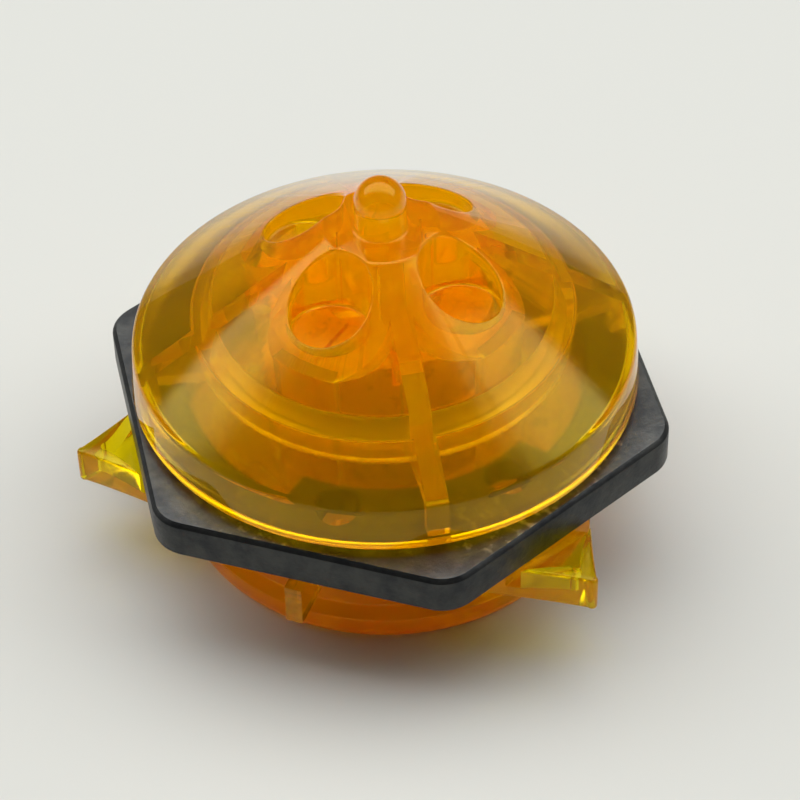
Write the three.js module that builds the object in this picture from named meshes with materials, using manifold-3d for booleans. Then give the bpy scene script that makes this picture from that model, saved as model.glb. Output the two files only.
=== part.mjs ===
// A battle top, lying face down with its spinning tip up, as an assembly that twists together.
// Millimetres, +Z up. The origin is the middle of the face that it lies on, and the axis is Z.
// From the table up: face chip and attack ring, metal weight disk, spin gear, conical base with the tip.
import * as THREE from 'three';
import { mergeVertices } from 'three/addons/utils/BufferGeometryUtils.js';
import Module from 'manifold-3d';

// Fit shared by all neighbouring pieces
const clearance = 0.3;

// Heights of the stack
const ringHeight = 8.6;
const diskThickness = 3.3;
const rimGap = 0.8;
const shellHeight = 13.9;
const tipLength = 4.1;

// Face chip and its snap legs
const chipDiameter = 12;
const chipThickness = 2.2;
const chipEdge = 0.5;
const chipLegDiameter = 6.6;
const chipLegWall = 0.9;
const chipLegCount = 4;
const chipLegSpan = 56;
const chipLegGrip = 2.8;
const chipBarbReach = 0.7;
const chipBarbHeight = 1.1;

// Launcher slots, spin gear and its core
const slotCount = 2;
const slotWall = 0.7;
const slotWidth = 1.5;
const slotSpan = 56;
const hookSpan = 76;
const hookMouthDepth = 2;
const hookDepth = 4.2;
const gearRimWall = 0.6;
const gearFlangeHeight = 5.4;
const gearStep = 0.9;
const gearWall = 1.2;
const gearRibWall = 1.1;
const coreDiameter = 8.2;
const coreCollarReach = 0.9;
const coreCollarHeight = 2;
const coreCollarLift = 5.6;
const coreSocketDiameter = 4;
const coreSocketDepth = 3.5;

// Bayonet between the base and the ring
const bayonetCount = 4;
const armThickness = 1.1;
const lugReach = 1.1;
const lugSpan = 28;
const lugHeight = 1.4;
const notchPlay = 3;
const twistAngle = 45;

// Attack ring
const plateThickness = 1.7;
const webThickness = 1.2;
const bodyWall = 2.2;
const bodyRoom = 1.1;
const lipReach = 0.8;
const lipBevel = 1.2;
const lipHeight = 1.1;
const plateOverhang = 2.2;
const postWall = 1.8;
const ringTurn = -2.6;
const wingCount = 3;
const wingDirection = 60;
const wingSpan = 47.2;
const wingHeight = 3;
const wingRootWidth = 12.4;
const wingWaistReach = 2.7;
const wingWaistWidth = 5;
const wingTipWidth = 0.8;
const wingEdge = 0.4;
const wingWall = 0.9;
const wingFloor = 1.1;
const wingPocketTaper = 1.4;
const finDirection = 120;
const finWidth = 1.3;
const finReach = 1.9;
const finHeight = 3.8;
const pegDiameter = 2.6;
const pegHeight = 1.7;
const pegPlay = 0.3;

// Weight disk: its flats stand a little proud of the rim above, and two tabs narrow its wide bore
const diskOverhang = 0.3;
const diskSides = 6;
const diskCornerRadius = 3;
const diskEdge = 0.35;
const diskTabReach = 2.5;
const diskTabSpan = 83;
const diskTabDirections = [90, 270];
const pegSpread = 26;
const pegWall = 0.5;

// Conical base
const rimDiameter = 38;
const rimDraft = 0.3;
const rimHeight = 3.7;
const rimWall = 1.4;
const rimRound = 0.7;
const shellWall = 1.5;
const plateauDiameter = 8.4;
const plateauRound = 0.5;
const tipDiameter = 3.8;
const ribCount = 4;
const ribThickness = 1.6;
const ribLift = 2.1;
const ribKeyDepth = 1.5;
const pilasterDepth = 0.9;
const pilasterLift = 0.2;
const pocketDiameter = 6;
const pocketWall = 1.3;
const pocketCircle = 13.5;
const pocketFloor = 1.1;
const gearHeight = 11.1;
const collarWall = 1.2;
const collarLift = 3;

// Facets of a full turn, of a small cylinder and of an edge round
const turnFacets = 48;
const smallFacets = 16;
const roundFacets = 3;
const roundEnd = 54;
const wingFacets = 6;

// Heights that follow from the stack
const ringTop = ringHeight;
const diskBottom = ringTop + clearance;
const diskTop = diskBottom + diskThickness;
const rimBottom = diskTop + rimGap;
const plateau = rimBottom + shellHeight;
const tipEnd = plateau + tipLength;
const gearBottom = ringTop + clearance * 2;
const gearTop = gearBottom + gearHeight;
const shellBelly = gearTop + clearance;
const plateBottom = ringTop - plateThickness;
const lugTop = plateBottom - clearance;
const lugBottom = lugTop - lugHeight;
const chipTop = chipThickness;
const seatTop = chipTop + clearance;
const webTop = seatTop + webThickness;

// Radii that follow from the middle outwards
const chipRadius = chipDiameter / 2;
const seatRadius = chipRadius + clearance;
const slotInner = seatRadius + slotWall;
const slotOuter = slotInner + slotWidth;
const gearRadius = slotOuter + gearRimWall;
const armInner = gearRadius + clearance;
const armOuter = armInner + armThickness;
const plateBore = armOuter + clearance;
const lugRadius = armOuter + lugReach;
const notchRadius = lugRadius + clearance;
const bodyInner = notchRadius + bodyRoom;
const bodyOuter = bodyInner + bodyWall;
const lipRadius = bodyOuter + lipReach;
const diskBore = lugRadius + clearance;
const diskCutoutRadius = diskBore + diskTabReach;
const collarInner = diskBore + clearance;
const collarOuter = collarInner + collarWall;
const pegRadius = pegDiameter / 2;
const pegHoleRadius = pegRadius + pegPlay;
const pegCircleRadius = diskBore + pegWall + pegHoleRadius;
const plateRadius = Math.max(pegCircleRadius + pegRadius, bodyOuter) + plateOverhang;
const wingTipRadius = wingSpan / 2;
const coreRadius = coreDiameter / 2;
const coreBore = coreRadius + clearance;
const collarRadius = coreRadius + coreCollarReach;
const legRadius = chipLegDiameter / 2;
const postBore = legRadius + clearance;
const barbRadius = legRadius + chipBarbReach;
const postRelief = barbRadius + clearance;
const postRadius = postRelief + postWall;
const rimRadius = rimDiameter / 2;
const diskFlat = rimRadius + diskOverhang;
const rimInner = rimRadius - rimWall;
const shoulderRadius = rimRadius - rimDraft;
const shoulderTop = rimBottom + rimHeight;
const plateauRadius = plateauDiameter / 2;
const tipRadius = tipDiameter / 2;
const pocketRadius = pocketDiameter / 2;
const cupRadius = pocketRadius + pocketWall;
const cupCircleRadius = pocketCircle / 2;
const hubRadius = Math.max(cupCircleRadius - cupRadius, tipRadius) + pocketWall / 2;

// The cone runs straight from the rim's shoulder to the edge of the plateau
const coneSlope = (plateau - shoulderTop) / (shoulderRadius - plateauRadius);
const coneDrop = shellWall * Math.hypot(1, coneSlope);
const coneAt = (radius) => plateau - (radius - plateauRadius) * coneSlope;
const bellyAt = (radius) => coneAt(radius) - coneDrop;
const wallMiddleAt = (radius) => coneAt(radius) - coneDrop / 2;

const amber = new THREE.MeshStandardMaterial({ color: 0xe29a10, roughness: 0.15, metalness: 0 });
const amberDeep = new THREE.MeshStandardMaterial({ color: 0xd9780c, roughness: 0.2, metalness: 0 });
const zinc = new THREE.MeshStandardMaterial({ color: 0x55585b, roughness: 0.45, metalness: 1 });

const wasm = await Module();
wasm.setup();

const radians = (degrees) => degrees * Math.PI / 180;
const at = (radius, height) => new THREE.Vector2(radius, height);

function solidOf(geometry) {
  const plain = geometry.index ? geometry.toNonIndexed() : geometry.clone();
  plain.deleteAttribute('normal');
  plain.deleteAttribute('uv');
  const merged = mergeVertices(plain, 1e-4);
  const corners = merged.index.array;
  const kept = [];
  for (let i = 0; i < corners.length; i += 3) {
    const [a, b, c] = [corners[i], corners[i + 1], corners[i + 2]];
    if (a !== b && b !== c && c !== a) kept.push(a, b, c);
  }
  return new wasm.Manifold(new wasm.Mesh({
    numProp: 3,
    vertProperties: new Float32Array(merged.attributes.position.array),
    triVerts: new Uint32Array(kept),
  }));
}

function joined(solids) {
  return solids.reduce((whole, solid) => whole.add(solid));
}

function piece(name, solid, material) {
  const { vertProperties, triVerts } = solid.getMesh();
  const geometry = new THREE.BufferGeometry();
  geometry.setAttribute('position', new THREE.BufferAttribute(vertProperties, 3));
  geometry.setIndex(new THREE.BufferAttribute(triVerts, 1));
  geometry.computeVertexNormals();
  const mesh = new THREE.Mesh(geometry, material);
  mesh.name = name;
  return mesh;
}

// A profile of radius and height, listed with the material on its left, turned about the axis
function turned(profile, facets = turnFacets) {
  const geometry = new THREE.LatheGeometry(profile, facets);
  return solidOf(geometry.rotateX(Math.PI / 2));
}

function upright(shape, bottom, top, facets) {
  const geometry = new THREE.ExtrudeGeometry(shape, {
    depth: top - bottom, bevelEnabled: false, curveSegments: facets,
  });
  return solidOf(geometry.translate(0, 0, bottom));
}

function cylinder(radius, bottom, top, x = 0, y = 0) {
  const geometry = new THREE.CylinderGeometry(radius, radius, top - bottom, smallFacets);
  geometry.rotateX(Math.PI / 2);
  return solidOf(geometry.translate(x, y, (bottom + top) / 2));
}

// A slice of a ring, centred on the X axis
function sector(inner, outer, span, bottom, top) {
  const half = radians(span) / 2;
  const shape = new THREE.Shape();
  shape.absarc(0, 0, outer, -half, half, false);
  shape.absarc(0, 0, inner, half, -half, true);
  shape.closePath();
  return upright(shape, bottom, top, Math.ceil(span * turnFacets / 720));
}

// A plate that stands on the X axis, from its outline in radius and height
function radialPlate(outline, thickness) {
  const geometry = new THREE.ExtrudeGeometry(new THREE.Shape(outline), {
    depth: thickness, bevelEnabled: false,
  });
  geometry.translate(0, 0, -thickness / 2);
  return solidOf(geometry.rotateX(Math.PI / 2));
}

const turnedTo = (solid, degrees) => solid.rotate([0, 0, degrees]);

function around(solid, count, first) {
  const copies = [];
  for (let i = 0; i < count; i += 1) copies.push(turnedTo(solid, first + i * 360 / count));
  return joined(copies);
}

// Points of a quarter round between two directions, about a middle
function quarter(middle, radius, height, from, to) {
  const points = [];
  for (let i = 0; i <= roundFacets; i += 1) {
    const angle = radians(from + (to - from) * i / roundFacets);
    points.push(at(middle.x + radius * Math.cos(angle), middle.y + height * Math.sin(angle)));
  }
  return points;
}

function faceChip() {
  const disc = turned([
    at(0, 0),
    at(chipRadius - chipEdge, 0),
    at(chipRadius, chipEdge),
    at(chipRadius, chipTop),
    at(0, chipTop),
  ]);
  const legTop = seatTop + chipLegGrip;
  const legInner = legRadius - chipLegWall;
  const leg = sector(legInner, legRadius, chipLegSpan, chipTop - chipEdge, legTop + chipBarbHeight);
  const barb = radialPlate([
    at(legRadius - chipLegWall / 2, legTop),
    at(barbRadius, legTop),
    at(legRadius, legTop + chipBarbHeight),
    at(legRadius - chipLegWall / 2, legTop + chipBarbHeight),
  ], legRadius);
  const grip = barb.intersect(sector(chipLegWall, barbRadius, chipLegSpan, legTop, legTop + chipBarbHeight));
  const legs = around(leg.add(grip), chipLegCount, 0);
  return piece('face_chip', disc.add(legs), amberDeep);
}

// Outline of one wing, pointing along X, drawn in by an inset all round
function wingShape(inset) {
  const root = bodyInner + bodyWall / 2;
  const rootHalf = wingRootWidth / 2 - inset * wingPocketTaper;
  const flank = Math.sqrt((plateRadius - wingEdge) ** 2 - rootHalf ** 2);
  const waistHalf = Math.max(wingWaistWidth / 2 - inset, wingTipWidth / 4);
  const tipHalf = wingTipWidth / 2;
  const start = inset > 0 ? plateRadius + inset : root;
  const tip = wingTipRadius - inset * 2;
  const shape = new THREE.Shape();
  shape.moveTo(start, -rootHalf);
  if (inset === 0) shape.lineTo(flank, -rootHalf);
  shape.quadraticCurveTo(plateRadius + wingWaistReach, -waistHalf, tip - tipHalf, -tipHalf);
  shape.absarc(tip - tipHalf, 0, tipHalf, -Math.PI / 2, Math.PI / 2, false);
  shape.quadraticCurveTo(plateRadius + wingWaistReach, waistHalf, inset === 0 ? flank : start, rootHalf);
  shape.lineTo(start, rootHalf);
  shape.closePath();
  return shape;
}

function wing() {
  const bottom = ringTop - wingHeight;
  const edge = Math.min(wingEdge, wingTipWidth / 3);
  const geometry = new THREE.ExtrudeGeometry(wingShape(0), {
    depth: wingHeight, bevelEnabled: true, bevelSegments: 2, curveSegments: wingFacets,
    bevelThickness: edge, bevelSize: edge, bevelOffset: -edge,
  });
  const blade = solidOf(geometry.translate(0, 0, bottom + edge));
  const flush = sector(plateBore, wingTipRadius + wingEdge, 180 / wingCount, bottom - wingEdge, ringTop);
  return blade.intersect(flush);
}

function attackRing() {
  const bodyFoot = lipRadius - lipBevel;
  const body = turned([
    at(postBore, seatTop),
    at(seatRadius, seatTop),
    at(seatRadius, 0),
    at(bodyFoot, 0),
    ...quarter(at(bodyFoot, lipBevel), lipBevel, lipBevel, -90, 0),
    at(lipRadius, lipBevel + lipHeight),
    at(bodyOuter, lipBevel + lipHeight + lipReach),
    at(bodyOuter, plateBottom - plateOverhang / 2),
    at(bodyOuter + plateOverhang / 2, plateBottom),
    at(plateRadius, plateBottom),
    at(plateRadius, ringTop - wingEdge),
    at(plateRadius - wingEdge, ringTop),
    at(plateBore, ringTop),
    at(plateBore, plateBottom),
    at(bodyInner, plateBottom),
    at(bodyInner, webTop),
    at(postRadius, webTop),
    at(postRadius, ringTop),
    at(postRelief, ringTop),
    at(postRelief, seatTop + chipLegGrip - clearance),
    at(postBore, seatTop + chipLegGrip - clearance),
    at(postBore, seatTop),
  ]);
  const wings = around(wing(), wingCount, wingDirection);
  const fin = radialPlate([
    at(bodyOuter - bodyWall / 2, ringTop - finHeight),
    at(plateRadius + finReach, ringTop - finHeight),
    at(plateRadius + finReach, ringTop - wingEdge),
    at(bodyOuter - bodyWall / 2, ringTop - wingEdge),
  ], finWidth);
  const fins = around(fin, wingCount, finDirection);
  const peg = cylinder(pegRadius, plateBottom + clearance, ringTop + pegHeight, pegCircleRadius, 0);
  const pegs = turnedTo(atPegs(peg), -ringTurn);
  const pitch = 360 / bayonetCount;
  const stopPlay = clearance / lugRadius * 180 / Math.PI;
  const stopSpan = pitch - twistAngle - lugSpan - stopPlay * 2;
  const stopBottom = webTop - webThickness / 2;
  const stopTop = plateBottom + plateThickness / 2;
  const stop = sector(plateBore, bodyInner + bodyWall / 2, stopSpan, stopBottom, stopTop);
  const stops = around(stop, bayonetCount, pitch * 1.5 - (pitch - twistAngle) / 2 - ringTurn);
  const slot = sector(slotInner, slotOuter, slotSpan, -webTop, webTop * 2);
  const slots = around(slot, slotCount, pitch * 1.5 - ringTurn);
  const notchSpan = lugSpan + notchPlay * 2;
  const [notchFloor, notchRoof] = [plateBottom - plateThickness, ringTop + plateThickness];
  const notch = sector(plateBore - plateThickness, notchRadius, notchSpan, notchFloor, notchRoof);
  const notches = around(notch, bayonetCount, pitch / 2 + twistAngle - ringTurn);
  const pocketFloorLevel = ringTop - wingHeight + wingFloor;
  const pocket = upright(wingShape(wingWall), pocketFloorLevel, ringTop + wingHeight, wingFacets);
  const pockets = around(pocket, wingCount, wingDirection);
  const whole = joined([body, wings, fins, pegs, stops]).subtract(joined([slots, notches, pockets]));
  return piece('attack_ring', turnedTo(whole, ringTurn), amber);
}

// A pair of copies on each tab of the disk
function atPegs(solid) {
  return joined(diskTabDirections.flatMap((direction) => [
    turnedTo(solid, direction - pegSpread),
    turnedTo(solid, direction + pegSpread),
  ]));
}

function weightDisk() {
  const half = Math.PI / diskSides;
  const shape = new THREE.Shape();
  const corner = (diskFlat - diskCornerRadius) / Math.cos(half);
  for (let i = 0; i < diskSides; i += 1) {
    const angle = half * (1 + 2 * i);
    const [x, y] = [corner * Math.cos(angle), corner * Math.sin(angle)];
    shape.absarc(x, y, diskCornerRadius, angle - half, angle + half, false);
  }
  shape.closePath();
  const geometry = new THREE.ExtrudeGeometry(shape, {
    depth: diskThickness - diskEdge * 2, bevelEnabled: true, bevelSegments: 1, curveSegments: roundFacets * 2,
    bevelThickness: diskEdge, bevelSize: diskEdge, bevelOffset: -diskEdge,
  });
  const plate = solidOf(geometry.translate(0, 0, diskBottom + diskEdge));
  const [below, above] = [diskBottom - diskThickness, diskTop + diskThickness];
  const disc = turned([
    at(0, below),
    at(diskCutoutRadius, below),
    at(diskCutoutRadius, above),
    at(0, above),
  ]);
  const tab = sector(diskBore, diskCutoutRadius + diskTabReach, diskTabSpan, below, above);
  const bore = disc.subtract(joined(diskTabDirections.map((direction) => turnedTo(tab, direction))));
  const hole = cylinder(pegHoleRadius, ringTop, above, pegCircleRadius, 0);
  return piece('weight_disk', plate.subtract(atPegs(hole).add(bore)), zinc);
}

// The shell with its rim, tip, hub and inner collar is one turned form
function shellProfile() {
  const roundMiddle = at(shoulderRadius - rimRound, shoulderTop - rimRound / 2);
  const plateauMiddle = at(plateauRadius - plateauRound, plateau - plateauRound);
  const outline = [
    at(0, shellBelly),
    at(hubRadius, shellBelly),
    at(hubRadius, bellyAt(hubRadius)),
    at(collarInner, bellyAt(collarInner)),
    at(collarInner, rimBottom + collarLift),
    at(collarOuter, rimBottom + collarLift),
    at(collarOuter, bellyAt(collarOuter)),
    at(rimInner, bellyAt(rimInner)),
    at(rimInner, rimBottom),
    at(rimRadius, rimBottom),
    ...quarter(roundMiddle, rimRound, rimRound, 0, roundEnd),
    ...quarter(plateauMiddle, plateauRound, plateauRound, roundEnd, 90),
    at(tipRadius, plateau),
    ...quarter(at(0, tipEnd - tipRadius), tipRadius, tipRadius, 0, 90),
  ];
  outline[outline.length - 1].x = 0;
  return outline;
}

function baseShell() {
  const pitch = 360 / bayonetCount;
  const shell = turned(shellProfile());
  // Ribs, cups and arms end inside the cone's wall
  const underCone = turned([
    at(0, lugBottom - lugHeight),
    at(rimRadius - rimWall / 2, lugBottom - lugHeight),
    at(rimRadius - rimWall / 2, wallMiddleAt(rimRadius - rimWall / 2)),
    at(plateauRadius, wallMiddleAt(plateauRadius)),
    at(0, wallMiddleAt(plateauRadius)),
  ]);
  const rib = radialPlate([
    at(hubRadius / 2, gearTop - ribKeyDepth),
    at(gearRadius - gearStep, gearTop - ribKeyDepth),
    at(gearRadius - gearStep, shellBelly),
    at(armInner, shellBelly),
    at(armInner, rimBottom + ribLift),
    at(rimInner - pilasterDepth, rimBottom + ribLift),
    at(rimInner - pilasterDepth, rimBottom + pilasterLift),
    at(rimRadius, rimBottom + pilasterLift),
    at(rimRadius, plateau),
    at(hubRadius / 2, plateau),
  ], ribThickness);
  const ribs = around(rib, ribCount, 0);
  const cup = cylinder(cupRadius, shellBelly, plateau, cupCircleRadius, 0);
  const cups = around(cup, ribCount, 180 / ribCount);
  const bore = cylinder(pocketRadius, shellBelly + pocketFloor, plateau + tipLength, cupCircleRadius, 0);
  const bores = around(bore, ribCount, 180 / ribCount);
  const arm = sector(armInner, armOuter, lugSpan, lugBottom, shellBelly + pocketFloor / 2);
  const lug = sector(armInner + armThickness / 2, lugRadius, lugSpan, lugBottom, lugTop);
  const underside = joined([ribs, cups, around(arm, bayonetCount, pitch / 2)]).intersect(underCone);
  const grips = around(lug, bayonetCount, pitch / 2);
  const whole = joined([shell, underside, grips]).subtract(bores);
  return piece('base_shell', whole, amber);
}

// The spin gear is a hollow barrel split lengthways: two ribs in each half hold the core by its collar
function spinGearHalf(name, direction) {
  const barrelRadius = gearRadius - gearStep;
  const flangeTop = gearBottom + gearFlangeHeight;
  const ribBottom = gearBottom + coreCollarLift - clearance;
  const ribTop = ribBottom + coreCollarHeight + clearance * 2;
  const barrel = turned([
    at(coreBore, gearBottom),
    at(gearRadius - clearance, gearBottom),
    at(gearRadius, gearBottom + clearance),
    at(gearRadius, flangeTop),
    at(barrelRadius, flangeTop + gearStep / 2),
    at(barrelRadius, gearTop),
    at(coreBore, gearTop),
    at(coreBore, gearBottom),
  ]);
  const room = (outer, bottom, top) => turned([
    at(0, bottom),
    at(outer, bottom),
    at(outer, top),
    at(0, top),
  ]);
  const rooms = joined([
    room(gearRadius - gearWall, gearBottom + hookMouthDepth, ribBottom - gearRibWall),
    room(barrelRadius - gearWall, ribBottom, ribTop),
    room(barrelRadius - gearWall, ribTop + gearRibWall, gearTop - gearWall),
  ]);
  const reach = gearRadius * 2;
  const side = new THREE.BoxGeometry(reach, reach * 2, gearHeight * 2);
  side.translate(reach / 2 + clearance / 2, 0, gearBottom + gearHeight / 2);
  const half = barrel.subtract(rooms).intersect(turnedTo(solidOf(side), direction));
  const keyFloor = gearTop - ribKeyDepth - clearance;
  const key = radialPlate([
    at(0, keyFloor),
    at(reach, keyFloor),
    at(reach, gearTop + ribKeyDepth),
    at(0, gearTop + ribKeyDepth),
  ], ribThickness + clearance * 2);
  const mouthTop = gearBottom + hookMouthDepth + clearance;
  const mouth = sector(slotInner, slotOuter, slotSpan, gearBottom - slotWidth, mouthTop);
  const hook = sector(slotInner, slotOuter, hookSpan, gearBottom + hookMouthDepth, gearBottom + hookDepth);
  const cuts = around(key, ribCount, 0).add(turnedTo(mouth.add(hook), direction));
  return piece(name, half.subtract(cuts), amberDeep);
}

function gearCore() {
  const bottom = gearBottom;
  const top = gearTop - ribKeyDepth - clearance;
  const collarBottom = gearBottom + coreCollarLift;
  const core = turned([
    at(0, bottom + coreSocketDepth),
    at(coreSocketDiameter / 2, bottom + coreSocketDepth),
    at(coreSocketDiameter / 2, bottom),
    at(coreRadius, bottom),
    at(coreRadius, collarBottom),
    at(collarRadius, collarBottom),
    at(collarRadius, collarBottom + coreCollarHeight),
    at(coreRadius, collarBottom + coreCollarHeight),
    at(coreRadius, top),
    at(0, top),
  ], smallFacets * 2);
  return piece('gear_core', core, amberDeep);
}

const battleTop = new THREE.Group();
battleTop.name = 'battle_top';
const slotDirection = 180 / bayonetCount + 360 / bayonetCount;
battleTop.add(
  faceChip(),
  attackRing(),
  weightDisk(),
  spinGearHalf('spin_gear_left', slotDirection),
  spinGearHalf('spin_gear_right', slotDirection + 180),
  gearCore(),
  baseShell(),
);

export default battleTop;
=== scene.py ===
import math

import bmesh
import bpy
import numpy as np
from mathutils import Matrix, Vector


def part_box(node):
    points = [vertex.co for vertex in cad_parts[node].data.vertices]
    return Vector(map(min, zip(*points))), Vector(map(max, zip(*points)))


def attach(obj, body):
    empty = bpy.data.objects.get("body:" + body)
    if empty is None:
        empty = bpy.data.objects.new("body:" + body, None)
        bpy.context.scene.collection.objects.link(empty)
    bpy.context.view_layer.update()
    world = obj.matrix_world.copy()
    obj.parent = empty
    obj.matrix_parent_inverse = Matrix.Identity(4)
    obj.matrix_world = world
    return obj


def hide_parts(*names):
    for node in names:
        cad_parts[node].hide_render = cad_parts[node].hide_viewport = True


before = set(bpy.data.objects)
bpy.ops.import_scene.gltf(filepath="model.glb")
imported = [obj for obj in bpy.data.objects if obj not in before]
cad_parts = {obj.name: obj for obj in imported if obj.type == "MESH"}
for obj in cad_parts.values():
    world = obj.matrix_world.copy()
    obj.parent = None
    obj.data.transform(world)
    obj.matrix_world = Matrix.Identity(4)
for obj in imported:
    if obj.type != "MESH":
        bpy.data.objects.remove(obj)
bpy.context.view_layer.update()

# Lengths below are millimetres, as on a drawing, and become metres when a mesh is made
mm = 0.001
clearance = 0.3
overshoot = 1  # how far a cutter reaches past what it cuts
sliver = 0.0002  # shorter edges are cleared after cutting


def nodeLevels(node):
    low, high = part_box(node)
    return low[2] / mm, high[2] / mm


diskBottom, diskTop = nodeLevels("weight_disk")
lugBottom, tipEnd = nodeLevels("base_shell")
gearBottom, gearTop = nodeLevels("spin_gear_left")
coreTop = nodeLevels("gear_core")[1]
ringTop = diskBottom - clearance
shellBelly = gearTop + clearance
print("frame loaded, disk from", round(diskBottom, 2), "to", round(diskTop, 2), "mm")


# Shapes as arrays: a block is (points, faces), closed, with its faces pointing out

def gridBlock(grid, closed=False):
    # A grid of rows, each row a closed ring: quads between rows, and a flat cap on the first and last
    # ring, or quads from the last row back to the first when the rows close on themselves
    rows, across = grid.shape[:2]
    index = np.arange(rows * across).reshape(rows, across)
    lower = index if closed else index[:-1]
    upper = np.roll(index, -1, axis=0) if closed else index[1:]
    quads = np.stack([lower, np.roll(lower, -1, 1), np.roll(upper, -1, 1), upper], -1).reshape(-1, 4)
    faces = quads.tolist()
    if not closed:
        faces += [index[0][::-1].tolist(), index[-1].tolist()]
    return grid.reshape(-1, 3), faces


def revolve(profile, around=192, closed=False):
    # Turning: (r cos a, r sin a, z) for each profile point (r, z) and each angle a
    angle = np.linspace(0, 2 * np.pi, around, endpoint=False)
    r, z = np.asarray(profile)[:, 0:1], np.asarray(profile)[:, 1:2]
    grid = np.stack([r * np.cos(angle), r * np.sin(angle), z + 0 * angle], -1)
    return gridBlock(grid, closed)


def atLevel(outline, z):
    # An outline (x, y) laid out at one height
    return np.column_stack([outline, np.full(len(outline), z)])


def prism(outline, bottom, top):
    # An outline (x, y) carried straight up from bottom to top
    outline = np.asarray(outline)
    return gridBlock(np.stack([atLevel(outline, bottom), atLevel(outline, top)]))


def uprightPlate(outline, thickness):
    # An outline (radius, height) standing on the X axis, carried across from -thickness/2 to +thickness/2
    outline = np.asarray(outline)
    r, z = outline[:, 0], outline[:, 1]
    rings = [np.column_stack([r, np.full(len(r), y), z]) for y in (thickness / 2, -thickness / 2)]
    return gridBlock(np.stack(rings))


def circle(radius, x=0, y=0, steps=64):
    angle = np.linspace(0, 2 * np.pi, steps, endpoint=False)
    return np.column_stack([x + radius * np.cos(angle), y + radius * np.sin(angle)])


def sector(inner, outer, span, bottom, top, steps=24):
    # Slice of a ring about the X axis: outer arc one way, inner arc back
    angle = np.radians(np.linspace(-span / 2, span / 2, steps))
    arc = np.column_stack([np.cos(angle), np.sin(angle)])
    return prism(np.vstack([outer * arc, inner * arc[::-1]]), bottom, top)


def turnBlock(block, degrees):
    points, faces = block
    c, s = math.cos(math.radians(degrees)), math.sin(math.radians(degrees))
    return points @ np.array([[c, s, 0], [-s, c, 0], [0, 0, 1]]), faces


def gather(blocks):
    # Separate blocks kept side by side as one
    points, faces, start = [], [], 0
    for block in blocks:
        points.append(block[0])
        faces += [[i + start for i in face] for face in block[1]]
        start += len(block[0])
    return np.vstack(points), faces


def ringOf(block, count, first=0):
    return gather([turnBlock(block, first + 360 * k / count) for k in range(count)])


def roundCorners(points, radii, steps=6, closed=False):
    # Each corner with a radius becomes an arc that meets both of its sides smoothly
    points = [np.array(p, float) for p in points]
    count = len(points)
    out = []
    for k, (corner, radius) in enumerate(zip(points, radii)):
        atEnd = not closed and k in (0, count - 1)
        if radius <= 0 or atEnd:
            out.append(corner[None])
            continue
        back = points[k - 1] - corner
        ahead = points[(k + 1) % count] - corner
        back, ahead = back / np.linalg.norm(back), ahead / np.linalg.norm(ahead)
        half = math.acos(np.clip(back @ ahead, -1, 1)) / 2
        middle = corner + (back + ahead) / np.linalg.norm(back + ahead) * radius / math.sin(half)
        reach = radius / math.tan(half)
        first, last = corner + back * reach - middle, corner + ahead * reach - middle
        turn = math.atan2(first[0] * last[1] - first[1] * last[0], first @ last)
        angle = math.atan2(first[1], first[0]) + np.linspace(0, turn, steps + 1)
        out.append(middle + radius * np.column_stack([np.cos(angle), np.sin(angle)]))
    return np.vstack(out)


def roundedProfile(corners, steps=6, closed=False):
    # A profile through corners given as (radius, height, rounding)
    return roundCorners([c[:2] for c in corners], [c[2] for c in corners], steps, closed)


def insetOutline(outline, inset):
    # A closed outline drawn in along its own normals
    ahead = np.roll(outline, -1, 0) - np.roll(outline, 1, 0)
    ahead /= np.linalg.norm(ahead, axis=1, keepdims=True)
    return outline + inset * np.column_stack([-ahead[:, 1], ahead[:, 0]])


def bezier(start, control, end, steps):
    t = np.linspace(0, 1, steps)[:, None]
    return (1 - t) ** 2 * np.array(start) + 2 * t * (1 - t) * np.array(control) + t ** 2 * np.array(end)


# Blender objects from blocks

def blockObject(name, block):
    points, faces = block
    mesh = bpy.data.meshes.new(name)
    mesh.from_pydata((points * mm).tolist(), [], faces)
    mesh.update()
    piece = bpy.data.objects.new(name, mesh)
    bpy.context.scene.collection.objects.link(piece)
    return piece


def carve(name, body, joins=(), cuts=(), sharpAngle=32):
    # The body with its joins added and its cuts taken away, shaded smooth up to the sharp angle
    piece = blockObject(name, body)
    tools = []
    for operation, blocks in (("UNION", joins), ("DIFFERENCE", cuts)):
        for block in blocks:
            tool = blockObject(name + "Tool", block)
            step = piece.modifiers.new(operation.lower(), "BOOLEAN")
            step.operation, step.solver, step.object = operation, "MANIFOLD", tool
            tools.append(tool)
    view = bpy.context.evaluated_depsgraph_get()
    carved = bpy.data.meshes.new_from_object(piece.evaluated_get(view))
    piece.modifiers.clear()
    piece.data = carved
    shape = bmesh.new()
    shape.from_mesh(carved)
    bmesh.ops.dissolve_degenerate(shape, dist=sliver * mm, edges=shape.edges)
    shape.to_mesh(carved)
    shape.free()
    for tool in tools:
        bpy.data.objects.remove(tool)
    carved.shade_smooth()
    carved.set_sharp_from_angle(angle=math.radians(sharpAngle))
    print(name, "has", len(carved.polygons), "faces")
    return piece


# Conical base with its rim, tip, hub, cups, ribs and bayonet arms

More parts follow.
